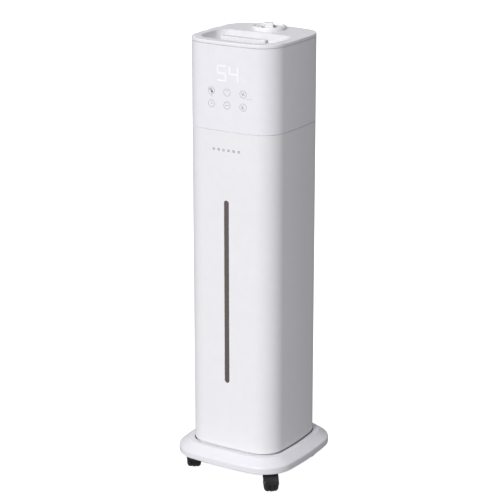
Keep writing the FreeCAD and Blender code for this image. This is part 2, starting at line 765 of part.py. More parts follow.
def basin_outline(sketch, spread=0):
    """Basin plan: front edge follows the tower's side, ends are straight, the back edge bows."""
    spread = as_size(spread)
    end = D.basin_x + spread
    front = D.body_side - D.basin_rim + spread
    centre_f = D.body_side - D.body_half
    turn_f = D.basin_corner + spread
    span = D.basin_x.value
    bow = D.basin_bow.value
    back_radius = (span * span + bow * bow) / (2 * bow) + spread.value
    centre_b = D.basin_back.value + bow + spread.value - back_radius
    turn_b = D.basin_turn + spread
    x_f = end.value - turn_f.value
    y_f = centre_f.value - math.sqrt((front.value - turn_f.value) ** 2 - x_f ** 2)
    x_b = end.value - turn_b.value
    y_b = centre_b + math.sqrt((back_radius - turn_b.value) ** 2 - x_b ** 2)
    lean_f = math.atan2(x_f, centre_f.value - y_f)
    lean_b = math.atan2(x_b, y_b - centre_b)
    quarter = math.pi / 2
    ids = list(sketch.addGeometry([
        arc((0, centre_f.value), front.value, -quarter - lean_f, -quarter + lean_f),
        arc((x_f, y_f), turn_f.value, -quarter + lean_f, 0),
        line((end.value, y_f), (end.value, y_b)),
        arc((x_b, y_b), turn_b.value, 0, quarter - lean_b),
        arc((0, centre_b), back_radius, quarter - lean_b, quarter + lean_b),
        arc((-x_b, y_b), turn_b.value, quarter + lean_b, 2 * quarter),
        line((-end.value, y_b), (-end.value, y_f)),
        arc((-x_f, y_f), turn_f.value, 2 * quarter, 3 * quarter - lean_f)]))
    join_ends(sketch, ids)
    for index in (2, 6):
        link(sketch, "Vertical", ids[index])
    for index in (0, 4):
        link(sketch, "PointOnObject", ids[index], 3, -2)
    hold(sketch, "Radius", (ids[0],), front)
    hold(sketch, "DistanceY", (-1, 1, ids[0], 3), centre_f)
    for index, size in ((1, turn_f), (7, turn_f), (3, turn_b), (5, turn_b)):
        hold(sketch, "Radius", (ids[index],), size)
    hold(sketch, "DistanceX", (-1, 1, ids[2], 1), end)
    hold(sketch, "DistanceX", (-1, 1, ids[6], 1), -end)
    link(sketch, "Block", ids[4])


def make_top_cover():
    """Top cover with its filling basin, nozzle well and locating skirt, in one moulding."""
    body = new_body("top_cover")
    pad(body, tower_outline(body, Z.cover), D.cover_height)
    round_edges(body, D.cover_round, level_edge(Z.top.value))
    pad(body, tower_outline(body, Z.cover, D.wall + D.fit), D.wall * 2, back=True)
    pocket(body, tower_outline(body, Z.cover - D.wall * 2, D.wall * 2 + D.fit),
           D.wall * 2 + D.cover_height - D.wall, ahead=True)
    basin = sketch_on(body, "XY_Plane", Z.top - D.wall)
    basin_outline(basin, D.basin_wall)
    pad(body, basin, D.basin_depth, back=True)
    well = sketch_on(body, "XY_Plane", Z.top - D.wall)
    circles(well, [(D.nozzle_x, D.nozzle_y, D.well_radius + D.basin_wall)])
    pad(body, well, D.well_depth, back=True)
    inside = sketch_on(body, "XY_Plane", Z.top)
    basin_outline(inside)
    pocket(body, inside, D.basin_depth)
    hollow = sketch_on(body, "XY_Plane", Z.top)
    circles(hollow, [(D.nozzle_x, D.nozzle_y, D.well_radius)])
    pocket(body, hollow, D.well_depth)
    holes = sketch_on(body, "XY_Plane", Z.top)
    circles(holes, [(D.nozzle_x, D.nozzle_y, D.duct_bore + D.duct_wall), (0, D.strainer_y, D.chute_bore)])
    pocket(body, holes, D.basin_depth * 2)
    node(body, "top_cover")


def make_grip():
    """Carrying grip: a bar on two legs that stands in the basin."""
    high = D.basin_depth - D.grip_sink
    body = new_body("carry_grip")
    sketch = sketch_on(body, "XY_Plane", Z.basin)
    soft_box(sketch, (0, D.grip_y), (D.grip_long, D.grip_thick), 2.5)
    pad(body, sketch, high)
    round_edges(body, 1.5, level_edge(Z.basin.value + high.value))
    sketch = sketch_on(body, "XZ_Plane", -D.grip_y - D.grip_thick)
    room = high - D.grip_bar
    soft_box(sketch, (0, Z.basin + room / 2), (D.grip_long - D.grip_leg * 2, room), 6)
    pocket(body, sketch, D.grip_thick * 2, ahead=True)
    node(body, "carry_grip")
    screws = []
    for side in (-1, 1):
        spot = ((D.grip_long - D.grip_leg) / 2 * side, D.grip_y, Z.basin - D.wall - 2.2)
        screws.append(drum("grip_screw", spot, 3.2, 2.2))
    node(group("grip_screws", screws), "grip_screws")


def make_head_floor():
    """Floor of the head with the spigot that locates it in the tank's mouth."""
    body = new_body("floor_plate")
    pad(body, tower_outline(body, Z.floor - D.plate, D.wall + D.fit), D.plate)
    spigot = D.wall + D.fit * 2 + D.seal_width
    pad(body, tower_outline(body, Z.floor - D.plate, spigot), D.spigot_depth, back=True)
    pocket(body, tower_outline(body, Z.floor - D.plate - D.spigot_depth, spigot + D.spigot_wall),
           D.spigot_depth, ahead=True)
    holes = sketch_on(body, "XY_Plane", Z.floor)
    circles(holes, [(0, D.strainer_y, D.chute_bore + D.duct_wall),
                    (D.riser_x, D.riser_y, D.riser_radius + D.fit)])
    pocket(body, holes, D.plate)
    ribs = []
    low = Z.floor
    for number, side in enumerate((-1, 1)):
        y = D.fan_y + (D.fan_side / 2 - 5) * side - D.rib / 2
        ribs.append(block("fan_rib_%d" % number, (D.fan_x - D.fan_thick / 2, y, low),
                          (D.fan_thick, D.rib, D.fan_up - D.fan_side / 2)))
    for number, x in enumerate((MAIN_BOARD_X - D.rib, MAIN_BOARD_X + D.board_thick)):
        ribs.append(block("board_rib_%d" % number, (x, -50, low), (D.rib, 80, 9)))
    node(fuse("head_floor_ribbed", [body] + ribs), "head_floor")


def make_head_seal():
    """Ring round the head's spigot; it wipes the tank's mouth with a small clearance."""
    body = new_body("head_seal")
    inner = D.wall + D.fit * 2 + D.seal_width
    low = Z.floor - D.plate - D.spigot_depth
    pad(body, tower_outline(body, low, D.wall + D.fit * 2), D.seal_high)
    pocket(body, tower_outline(body, low + D.seal_high, inner), D.seal_high)
    node(body, "head_seal")


# ---------------------------------------------------------------- head insides

MAIN_BOARD_X = D.body_half - 20


def make_chamber():
    """Mist chamber with its raised floor, lid and the duct up to the nozzle."""
    y = D.chamber_y
    radius, wall = D.chamber_radius, D.basin_wall
    shell = drum("chamber_shell", (0, y, Z.floor), radius, D.chamber_top)
    step = D.chamber_step
    upper = drum("chamber_upper", (0, y, Z.floor + step + wall), radius - wall,
                 D.chamber_top - step - wall)
    lower = drum("chamber_lower", (0, y, Z.floor), radius - wall, step)
    face = drum("chamber_face", (0, y, Z.floor), D.disc_radius / 2, step + wall)
    air_z = Z.floor + D.fan_up
    air = drum("chamber_air", (-radius, D.fan_y, air_z), 14, radius, "X")
    node(cut("mist_chamber", shell, [upper, lower, face, air]), "mist_chamber")
    lid_low = Z.floor + D.chamber_top
    plate = drum("lid_plate", (0, y, lid_low), radius + 1.5, D.plate)
    spigot = tube("lid_spigot", (0, y, lid_low - 6), radius - wall - D.fit,
                  radius - wall * 2 - D.fit, 6 + D.plate)
    hole = drum("lid_hole", (D.nozzle_x, D.nozzle_y, lid_low - 6), D.duct_bore + D.duct_wall, 20)
    node(cut("chamber_lid", fuse("lid_solid", [plate, spigot]), [hole]), "chamber_lid")
    node(tube("mist_duct", (D.nozzle_x, D.nozzle_y, lid_low), D.duct_bore + D.duct_wall, D.duct_bore,
              Z.well - lid_low), "mist_duct")


def make_transducer():
    """Ultrasonic transducer: a round housing under the chamber's floor with its disc."""
    low = Z.floor + D.chamber_step - 12
    can = drum("transducer_can", (0, D.chamber_y, low), D.disc_radius, 12)
    dish = drum("transducer_disc", (0, D.chamber_y, low + 11), D.disc_radius / 2 - 0.5, 2)
    node(fuse("transducer", [can, dish]), "transducer")


def make_float():
    """Water level float on its guide in the mist chamber."""
    low = Z.floor + D.chamber_step + D.basin_wall
    x, y = 25, D.chamber_y - 14
    rod = drum("float_rod", (x, y, low), 3, 34)
    foot = drum("float_foot", (x, y, low), 6, 3)
    stop = drum("float_stop", (x, y, low + 30), 5, 3)
    node(fuse("float_guide", [rod, foot, stop]), "float_guide")
    node(tube("level_float", (x, y, low + 3), 10, 3 + D.running * 2, 14), "level_float")


def make_fan():
    """Axial fan that blows into the mist chamber, its rotor on the frame's pin."""
    axis_z = Z.floor + D.fan_up
    half, thick = D.fan_side / 2, D.fan_thick
    low_x = D.fan_x - thick / 2
    frame = block("fan_box", (low_x, D.fan_y - half, axis_z - half), (thick, half * 2, half * 2))
    throat = drum("fan_throat", (low_x, D.fan_y, axis_z), D.fan_bore, thick, "X")
    ring = cut("fan_ring", frame, [throat])
    struts = [
        block("fan_strut_a", (low_x, D.fan_y - half, axis_z - 2), (2, half * 2, 4)),
        block("fan_strut_b", (low_x, D.fan_y - 2, axis_z - half), (2, 4, half * 2)),
        drum("fan_seat", (low_x, D.fan_y, axis_z), D.fan_hub, 3, "X"),
        drum("fan_pin", (low_x, D.fan_y, axis_z), D.fan_pin, thick - 3, "X")]
    node(fuse("fan_frame", [ring] + struts), "fan_frame")
    start = low_x + 3.6
    depth = thick - 3.6 - 1
    hub = drum("rotor_hub", (start, D.fan_y, axis_z), D.fan_hub, depth, "X")
    blades = []
    for number in range(7):
        blade = doc.addObject("Part::Box", "blade")
        turn = FreeCAD.Rotation(FreeCAD.Vector(1, 0, 0), number * 360.0 / 7)
        pitch = FreeCAD.Rotation(FreeCAD.Vector(0, 0, 1), -35)
        blade.Placement = FreeCAD.Placement(FreeCAD.Vector(), turn.multiply(pitch))
        bind(blade, Length=depth * 0.8, Width=1.4, Height=D.fan_bore - 1)
        place(blade, (start + 1.2, D.fan_y, axis_z))
        blades.append(blade)
    bore = drum("rotor_bore", (start, D.fan_y, axis_z), D.fan_pin + D.running, depth, "X")
    node(cut("fan_rotor", fuse("rotor_solid", [hub] + blades), [bore]), "fan_rotor")
    tail = low_x + thick
    mouth = D.chamber_radius - 6
    air = tube("air_tube", (tail, D.fan_y, axis_z), 16, 14, -mouth - tail, "X")
    flange = tube("air_flange", (tail, D.fan_y, axis_z), D.fan_bore, 14, 2, "X")
    chamber = drum("air_trim", (0, D.chamber_y, Z.floor), D.chamber_radius + 0.1, D.chamber_top)
    node(cut("air_duct", fuse("air_solid", [air, flange]), [chamber]), "air_duct")


def make_rear_fittings():
    """Intake grille with its filter pad, and the power inlet, in the rear wall."""
    up = Z.seam + D.grille_up
    back = D.body_half - D.wall
    wide, high = D.grille_wide, D.grille_high
    body = new_body("intake_grille")
    outer = -(D.body_half - D.grille_sink)
    sketch = sketch_on(body, "XZ_Plane", outer)
    soft_box(sketch, (D.grille_x, up), (wide - D.fit * 2, high - D.fit * 2), 5.8)
    pad(body, sketch, D.wall - 0.4)
    slots = sketch_on(body, "XZ_Plane", outer)
    count = 9
    pitch = (high - 8) / count
    for number in range(count):
        middle = up - high / 2 + 4 + pitch * (number + 0.5)
        soft_box(slots, (D.grille_x, middle), (wide - 12, pitch - 1.8), 0.8)
    pocket(body, slots, D.wall * 2, ahead=True)
    node(body, "intake_grille")
    pad_low = (D.grille_x - wide / 2 - 3, back - D.filter_thick - D.wall, up - high / 2 - 3)
    node(block("intake_filter", pad_low, (wide + 6, D.filter_thick, high + 6)), "intake_filter")
    inlet = new_body("inlet_block")
    outer = -(D.body_half - D.inlet_sink)
    sketch = sketch_on(inlet, "XZ_Plane", outer)
    soft_box(sketch, (D.inlet_x, up), (D.inlet_wide - D.fit * 2, D.inlet_high - D.fit * 2), 2.8)
    pad(inlet, sketch, 20)
    socket = sketch_on(inlet, "XZ_Plane", outer)
    soft_box(socket, (D.inlet_x, up), (16.5, 8.5), 4.2)
    pocket(inlet, socket, D.inlet_deep, ahead=True)
    pins = []
    for side in (-1, 1):
        spot = (D.inlet_x + 4.3 * side, D.body_half - D.inlet_sink - D.inlet_deep - 0.1, up)
        pins.append(drum("inlet_pin", spot, 1.2, 9, "Y"))
    node(fuse("inlet_solid", [inlet] + pins), "power_inlet")


def make_front_electronics():
    """Digit module, touch pads and display board behind the front wall."""
    front = -(D.body_half - D.wall - D.panel_play)
    digits = Z.seam + D.digit_up
    node(block("digit_module", (D.digit_left, front, digits - D.digit_high / 2),
               (D.digit_wide, D.lamp_thick, D.digit_high)), "digit_module")
    board_low = digits + D.digit_high / 2 - D.board_high
    node(block("display_board", (D.display_x - D.board_wide / 2, front + D.lamp_thick, board_low),
               (D.board_wide, D.board_thick, D.board_high)), "display_board")
    pads = []
    for column in (-1, 0, 1):
        for row in (0, 1):
            across = D.display_x + D.key_pitch_x * column
            up = Z.seam + D.key_up + D.key_pitch_z * row
            pads.append(drum("touch_pad", (across, front, up), D.pad_radius, D.lamp_thick, "Y"))
    node(group("touch_pads", pads), "touch_pads")


def make_main_board():
    """Upright main board with its large components."""
    x = MAIN_BOARD_X
    sheet = block("main_sheet", (x, -48, Z.floor), (D.board_thick, 76, 92))
    parts = [
        block("main_coil", (x - 17, -44, Z.floor + 14), (17, 22, 20)),
        drum("main_can_a", (x - 14, -14, Z.floor + 18), 7, 14, "X"),
        drum("main_can_b", (x - 14, 2, Z.floor + 18), 7, 14, "X"),
        block("main_sink", (x - 12, -40, Z.floor + 52), (12, 44, 22)),
        block("main_socket", (x - 8, 8, Z.floor + 48), (8, 12, 30))]
    node(fuse("main_board", [sheet] + parts), "main_board")


def make_chute():
    """Filling chute from the basin's drain to the tank."""
    top = Z.basin - D.wall
    node(tube("fill_chute", (0, D.strainer_y, Z.floor - D.plate), D.chute_bore + D.duct_wall,
              D.chute_bore, top - Z.floor + D.plate), "fill_chute")


def make_strainer():
    """Lift-out strainer cup with a slotted floor, in the basin's drain."""
    body = new_body("fill_strainer")
    cup, lip, deep = D.strainer_radius, D.strainer_lip, D.strainer_deep
    revolve(body, [(1.0, -deep), (cup, -deep), (cup, 0), (lip, 0), (lip, 1.6), (cup - 1.4, 1.6),
                   (cup - 1.4, 1.6 - deep), (1.0, 1.6 - deep)])
    sketch = sketch_on(body, "XY_Plane", -deep)
    spots = []
    for ring, count in ((5.0, 6), (9.5, 12)):
        for number in range(count):
            angle = 2 * math.pi * number / count
            spots.append((ring * math.cos(angle), ring * math.sin(angle), 1.3))
    circles(sketch, spots)
    pocket(body, sketch, 5, ahead=True)
    place(body, (0, D.strainer_y, Z.basin))
    node(body, "fill_strainer")


def make_nozzle():
    """Rotating mist nozzle: dished round cap, raised middle grip and two mist openings."""
    body = new_body("mist_nozzle")
    cap, rise, dish = D.cap_radius, D.cap_rise, D.cap_dish
    spigot = D.duct_bore - D.running
    low = -D.well_depth
    revolve(body, [
        (spigot - 2, low - 14), (spigot, low - 14), (spigot, low + 3), (cap - 2.5, low + 3),
        (cap - 2.5, low + 0.4), (cap - 0.8, low + 0.4), (cap, low + 1.2), (cap, rise - 2),
        (cap - 0.6, rise - 0.6), (cap - 2, rise), (cap - 4, rise), (cap - 6.5, rise - dish),
        (spigot - 2, rise - dish)])
    floor = sketch_on(body, "XY_Plane", low + 3)
    circles(floor, [(0, 0, spigot)])
    pad(body, floor, rise - dish - low - 3)
    hollow = sketch_on(body, "XY_Plane", low - 14)
    circles(hollow, [(0, 0, spigot - 2)])
    pocket(body, hollow, rise - dish - low + 14 - 3, ahead=True)
    ridge = sketch_on(body, "XY_Plane", rise - dish - 1)
    soft_box(ridge, (0, 0), (D.ridge_wide, D.ridge_long), 3)
    pad(body, ridge, dish + 1 + D.ridge_rise)
    round_edges(body, 1.2, level_edge((rise + D.ridge_rise).value))
    mouths = sketch_on(body, "XY_Plane", rise)
    aside = (D.ridge_wide + D.mouth_wide) / 2
    for side in (-1, 1):
        soft_box(mouths, (aside * side, 0), (D.mouth_wide, D.mouth_long), 2.4)
    pocket(body, mouths, dish + 8)
    turn = FreeCAD.Rotation(FreeCAD.Vector(0, 0, 1), NOZZLE_TURN)
    body.Placement = FreeCAD.Placement(FreeCAD.Vector(), turn)
    place(body, (D.nozzle_x, D.nozzle_y, Z.top))
    node(body, "mist_nozzle")


# ---------------------------------------------------------------- pump and riser

def make_pump():
    """Pump on the tank's floor: housing, inlet strainer and impeller."""
    x, y = D.riser_x, D.riser_y
    low = Z.water + D.pump_lift
    radius = D.pump_radius
    can = drum("pump_can", (x, y, low), radius, D.pump_high)
    neck = drum("pump_neck", (x, y, low + D.pump_high), D.riser_radius + 3, 8)
    room = drum("pump_room", (x, y, low), radius - 3, 12)
    bore = drum("pump_bore", (x, y, low + D.pump_high), D.riser_radius, 8)
    pin = drum("pump_pin", (x, y, low + 1), 2, 13)
    hollow = cut("pump_hollow", fuse("pump_solid", [can, neck]), [room, bore])
    node(fuse("pump_housing", [hollow, pin]), "pump_housing")
    hub = drum("impeller_hub", (x, y, low + 2), 6, 8)
    vanes = []
    for number in range(3):
        vane = doc.addObject("Part::Box", "vane")
        turn = FreeCAD.Rotation(FreeCAD.Vector(0, 0, 1), number * 60.0)
        vane.Placement = FreeCAD.Placement(FreeCAD.Vector(), turn)
        bind(vane, Length=radius * 2 - 10, Width=1.6, Height=8)
        cos, sin = math.cos(math.radians(60 * number)), math.sin(math.radians(60 * number))
        reach = radius - 5
        place(vane, (x - reach * cos + 0.8 * sin, y - reach * sin - 0.8 * cos, low + 2))
        vanes.append(vane)
    bore = drum("impeller_bore", (x, y, low + 2), 2 + D.running, 8)
    node(cut("pump_impeller", fuse("impeller_solid", [hub] + vanes), [bore]), "pump_impeller")
    cap = drum("screen_cap", (x, y, low - 5), radius, 5)
    inside = drum("screen_room", (x, y, low - 3), radius - 2, 3)
    slots = []
    for number in range(5):
        across = x - 14 + 7 * number - 1
        slots.append(block("screen_slot_%d" % number, (across, y - 9, low - 6), (2, 18, 4)))
    node(cut("pump_screen", cap, [inside] + slots), "pump_screen")


def make_riser():
    """Riser tube from the pump up into the mist chamber, with one bend at its top."""
    low = Z.water + D.pump_lift + D.pump_high
    top = Z.floor + D.riser_top
    dx, dy = -D.riser_x.value, D.chamber_y.value - D.riser_y.value
    run = math.hypot(dx, dy) - D.chamber_radius.value
    body = new_body("riser_tube")
    path = sketch_on(body, "XZ_Plane", 0)
    bend = D.riser_bend
    turn_z = top - bend
    upright = path.addGeometry(line((0, low.value), (0, turn_z.value)))
    curve = path.addGeometry(arc((bend.value, turn_z.value), bend.value, math.pi / 2, math.pi))
    level = path.addGeometry(line((bend.value, top.value), (run, top.value)))
    link(path, "Vertical", upright)
    link(path, "Horizontal", level)
    link(path, "Tangent", upright, 2, curve, 2)
    link(path, "Tangent", curve, 1, level, 1)
    link(path, "PointOnObject", upright, 1, -2)
    hold(path, "DistanceY", (-1, 1, upright, 1), low)
    hold(path, "DistanceY", (-1, 1, level, 2), top)
    hold(path, "Radius", (curve,), bend)
    for kind, radius in (("AdditivePipe", D.riser_radius), ("SubtractivePipe", D.riser_bore)):
        ring = sketch_on(body, "XY_Plane", low)
        circles(ring, [(0, 0, radius)])
        pipe = body.newObject("PartDesign::" + kind, "riser_" + kind)
        pipe.Profile = ring
        pipe.Spine = path
        doc.recompute()
    angle = math.degrees(math.atan2(dy, dx))
    turn = FreeCAD.Rotation(FreeCAD.Vector(0, 0, 1), angle)
    body.Placement = FreeCAD.Placement(FreeCAD.Vector(), turn)
    place(body, (D.riser_x, D.riser_y, 0))
    node(body, "riser_tube")


# ---------------------------------------------------------------- build and write

def make_all():
    make_tray()
    make_tray_fixings()
    make_sockets()
    make_casters()
    make_tank_shell()
    make_tank_base()
    make_feet()
    make_window()
    make_head_shell()
    make_top_cover()
    make_grip()
    make_head_floor()
    make_head_seal()
    make_chamber()
    make_transducer()
    make_float()
    make_fan()
    make_rear_fittings()
    make_front_electronics()
    make_main_board()
    make_chute()
    make_strainer()
    make_nozzle()
    make_pump()
    make_riser()


def check_document():
    """Stop if any object failed to build or any sub-part has no valid shape."""
    for thing in doc.Objects:
        if "Invalid" in thing.State or "Error" in thing.State:
            raise ValueError("%s did not build: %s" % (thing.Name, thing.State))
    for thing in nodes:
        if thing.Shape.isNull() or not thing.Shape.isValid() or not thing.Shape.Solids:
            raise ValueError("bad shape: " + thing.Label)


make_all()
doc.recompute()
check_document()
os.makedirs("parts", exist_ok=True)
for piece in nodes:
    piece.Shape.exportStep("parts/%s.step" % piece.Label)
print("%d nodes written" % len(nodes))
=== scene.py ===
import json
import math

import bmesh
import bpy
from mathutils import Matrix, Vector


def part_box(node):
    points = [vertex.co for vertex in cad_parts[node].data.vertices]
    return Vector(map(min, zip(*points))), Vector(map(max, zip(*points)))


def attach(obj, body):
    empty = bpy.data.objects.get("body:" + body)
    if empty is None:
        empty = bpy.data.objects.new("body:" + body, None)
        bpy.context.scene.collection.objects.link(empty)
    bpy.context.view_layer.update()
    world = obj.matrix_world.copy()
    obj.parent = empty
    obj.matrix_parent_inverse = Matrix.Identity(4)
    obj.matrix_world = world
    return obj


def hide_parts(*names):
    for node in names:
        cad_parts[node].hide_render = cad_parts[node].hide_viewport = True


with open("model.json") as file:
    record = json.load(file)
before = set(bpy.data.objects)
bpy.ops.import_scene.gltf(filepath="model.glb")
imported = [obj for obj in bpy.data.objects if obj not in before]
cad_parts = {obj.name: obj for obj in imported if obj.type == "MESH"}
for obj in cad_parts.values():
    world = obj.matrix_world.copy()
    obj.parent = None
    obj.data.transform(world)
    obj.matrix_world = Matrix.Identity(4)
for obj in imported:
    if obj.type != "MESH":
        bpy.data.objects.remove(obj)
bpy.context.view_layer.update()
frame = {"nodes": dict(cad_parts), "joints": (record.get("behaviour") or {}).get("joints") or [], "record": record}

MM = 0.001

# The camera of the product view: to the front right of the tower and a little above it.
VIEW_AZIMUTH = math.radians(31.77)
VIEW_ELEVATION = math.radians(17.24)
VIEW_DISTANCE = 3.884
VIEW_LENS = 133.36
AIM_HEIGHT = 0.4846
AIM_ASIDE = -0.00893

# Radius of the tower's gently bowed sides.
SIDE_RADIUS = 656 * MM


# ---------------------------------------------------------------- stage

def make_camera():
    """Camera at the product view's angle, aimed at a point on the tower's axis."""
    cos_e, sin_e = math.cos(VIEW_ELEVATION), math.sin(VIEW_ELEVATION)
    away = Vector((math.sin(VIEW_AZIMUTH) * cos_e, -math.cos(VIEW_AZIMUTH) * cos_e, sin_e))
    aside = Vector((math.cos(VIEW_AZIMUTH), math.sin(VIEW_AZIMUTH), 0))
    aim = aside * AIM_ASIDE + Vector((0, 0, AIM_HEIGHT))
    data = bpy.data.cameras.new("camera")
    data.sensor_width = 36
    data.lens = VIEW_LENS
    data.clip_end = 200
    camera = bpy.data.objects.new("camera", data)
    bpy.context.scene.collection.objects.link(camera)
    camera.location = aim + away * VIEW_DISTANCE
    camera.rotation_euler = away.to_track_quat("Z", "Y").to_euler()
    bpy.context.scene.camera = camera


def make_sun(name, direction, strength, softness, shines=True):
    """A soft distant light that shines from a direction, with highlights unless shines is off."""
    data = bpy.data.lights.new(name, "SUN")
    data.energy = strength
    data.angle = math.radians(softness)
    light = bpy.data.objects.new(name, data)
    light.visible_glossy = shines
    bpy.context.scene.collection.objects.link(light)
    light.rotation_euler = Vector(direction).normalized().to_track_quat("Z", "Y").to_euler()


def make_world():
    """A dim, even studio surround that looks white to the camera."""
    world = bpy.data.worlds.new("studio")
    bpy.context.scene.world = world
    world.use_nodes = True
    tree = world.node_tree
    tree.nodes.clear()
    seen = tree.nodes.new("ShaderNodeBackground")
    seen.inputs["Color"].default_value = (1, 1, 1, 1)
    seen.inputs["Strength"].default_value = 1.0
    fill = tree.nodes.new("ShaderNodeBackground")
    fill.inputs["Color"].default_value = (0.95, 0.96, 1.0, 1)
    fill.inputs["Strength"].default_value = 0.28
    path = tree.nodes.new("ShaderNodeLightPath")
    mix = tree.nodes.new("ShaderNodeMixShader")
    out = tree.nodes.new("ShaderNodeOutputWorld")
    tree.links.new(path.outputs["Is Camera Ray"], mix.inputs["Fac"])
    tree.links.new(fill.outputs[0], mix.inputs[1])
    tree.links.new(seen.outputs[0], mix.inputs[2])
    tree.links.new(mix.outputs[0], out.inputs["Surface"])


def make_floor():
    """A plain pale floor, large enough that its edge is out of sight."""
    mesh = bpy.data.meshes.new("floor")
    reach = 60.0
    corners = [(-reach, -reach, 0), (reach, -reach, 0), (reach, reach, 0), (-reach, reach, 0)]
    mesh.from_pydata(corners, [], [(0, 1, 2, 3)])
    floor = bpy.data.objects.new("floor", mesh)
    bpy.context.scene.collection.objects.link(floor)
    material = bpy.data.materials.new("floor_paper")
    material.use_nodes = True
    tree = material.node_tree
    tree.nodes.clear()
    paper = tree.nodes.new("ShaderNodeBsdfDiffuse")
    paper.inputs["Color"].default_value = (0.44, 0.44, 0.445, 1)
    glow = tree.nodes.new("ShaderNodeEmission")
    glow.inputs["Color"].default_value = (1, 1, 1, 1)
    path = tree.nodes.new("ShaderNodeLightPath")
    lift = tree.nodes.new("ShaderNodeMath")
    lift.operation = "MULTIPLY"
    lift.inputs[1].default_value = 0.95
    both = tree.nodes.new("ShaderNodeAddShader")
    out = tree.nodes.new("ShaderNodeOutputMaterial")
    tree.links.new(path.outputs["Is Camera Ray"], lift.inputs[0])
    tree.links.new(lift.outputs[0], glow.inputs["Strength"])
    tree.links.new(paper.outputs[0], both.inputs[0])
    tree.links.new(glow.outputs[0], both.inputs[1])
    tree.links.new(both.outputs[0], out.inputs["Surface"])
    mesh.materials.append(material)


def make_stage():
    """Camera, surround, floor, the front light and a faint light from behind."""
    make_camera()
    make_world()
    make_floor()
    make_sun("key", (0.04, -0.82, 0.64), 2.90, 26)
    make_sun("rear_fill", (-0.5, 0.8, 0.2), 1.0, 10, shines=False)
    settings = bpy.context.scene.view_settings
    settings.view_transform = "Standard"
    settings.look = "None"


# ---------------------------------------------------------------- materials

def shader(name):
    """A new node material: its tree, its Principled shader and its object coordinates."""
    material = bpy.data.materials.new(name)
    material.use_nodes = True
    tree = material.node_tree
    principled = tree.nodes["Principled BSDF"]
    coords = tree.nodes.new("ShaderNodeTexCoord").outputs["Object"]
    return material, tree, principled, coords


def noise(tree, coords, scale, detail=4.0, rough=0.55, stretch=(1, 1, 1)):
    """Fractal noise over the object, per metre, stretched along the axes."""
    mapping = tree.nodes.new("ShaderNodeMapping")
    mapping.inputs["Scale"].default_value = stretch
    node = tree.nodes.new("ShaderNodeTexNoise")
    node.inputs["Scale"].default_value = scale
    node.inputs["Detail"].default_value = detail
    node.inputs["Roughness"].default_value = rough
    tree.links.new(coords, mapping.inputs["Vector"])
    tree.links.new(mapping.outputs[0], node.inputs["Vector"])
    return node.outputs["Fac"]


def spread(tree, value, low, high, start=0.3, end=0.7):
    """Map a value from start..end onto low..high."""
    node = tree.nodes.new("ShaderNodeMapRange")
    node.inputs["From Min"].default_value = start
    node.inputs["From Max"].default_value = end
    node.inputs["To Min"].default_value = low
    node.inputs["To Max"].default_value = high
    tree.links.new(value, node.inputs["Value"])
    return node.outputs["Result"]


def blend_colours(tree, value, first, second):
    """Mix two colours by a value from 0 to 1."""
    node = tree.nodes.new("ShaderNodeMix")
    node.data_type = "RGBA"
    node.inputs["A"].default_value = (*first, 1)
    node.inputs["B"].default_value = (*second, 1)
    tree.links.new(value, node.inputs["Factor"])
    return node.outputs["Result"]


def add_bumps(tree, principled, layers):
    """Chain bump layers given as (height output, strength, distance in metres)."""
    below = None
    for height, strength, distance in layers:
        bump = tree.nodes.new("ShaderNodeBump")
        bump.inputs["Strength"].default_value = strength
        bump.inputs["Distance"].default_value = distance
        tree.links.new(height, bump.inputs["Height"])
        if below is not None:
            tree.links.new(below, bump.inputs["Normal"])
        below = bump.outputs["Normal"]
    tree.links.new(below, principled.inputs["Normal"])


def scaled(colour, factor):
    return tuple(channel * factor for channel in colour)


def moulded(name, colour, rough=0.38, grain=2600, depth=0.06):
    """Injection-moulded plastic: fine spark grain, faint flow waviness, uneven gloss and tone."""
    material, tree, principled, coords = shader(name)
    tone = noise(tree, coords, 7, 3)
    blotch = noise(tree, coords, 60, 5)
    both = tree.nodes.new("ShaderNodeMath")
    both.operation = "MULTIPLY"
    tree.links.new(tone, both.inputs[0])
    tree.links.new(blotch, both.inputs[1])
    factor = spread(tree, both.outputs[0], 0, 1, 0.12, 0.4)
    tree.links.new(blend_colours(tree, factor, scaled(colour, 0.97), colour),
                   principled.inputs["Base Color"])
    tree.links.new(spread(tree, blotch, rough - 0.05, rough + 0.06), principled.inputs["Roughness"])
    principled.inputs["Specular IOR Level"].default_value = 0.5
    fine = noise(tree, coords, grain, 2)
    wave = noise(tree, coords, 22, 2, stretch=(1, 1, 0.35))
    add_bumps(tree, principled, [(wave, 0.35, 0.0006), (fine, depth, 0.00008)])
    return material


def worn_black(name, colour, rough=0.42, amount=0.35):
    """Black nylon: coarse grain, scuffs and an amount of dust that gathers low on the wheels."""
    dust = (0.16, 0.155, 0.15)
    material, tree, principled, coords = shader(name)
    scuff = noise(tree, coords, 240, 6, 0.65)
    cloud = noise(tree, coords, 45, 4)
    split = tree.nodes.new("ShaderNodeSeparateXYZ")
    tree.links.new(coords, split.inputs[0])
    low = spread(tree, split.outputs["Z"], amount, 0.03, 0.0, 0.03)
    mask = spread(tree, scuff, 0, 1, 0.45, 0.75)
    dusty = tree.nodes.new("ShaderNodeMath")
    dusty.operation = "MULTIPLY"
    tree.links.new(low, dusty.inputs[0])
    tree.links.new(mask, dusty.inputs[1])
    tree.links.new(blend_colours(tree, dusty.outputs[0], colour, dust),
                   principled.inputs["Base Color"])
    tree.links.new(spread(tree, cloud, rough - 0.08, rough + 0.14), principled.inputs["Roughness"])
    fine = noise(tree, coords, 1500, 3)
    add_bumps(tree, principled, [(fine, 0.12, 0.0001), (scuff, 0.08, 0.0002)])
    return material


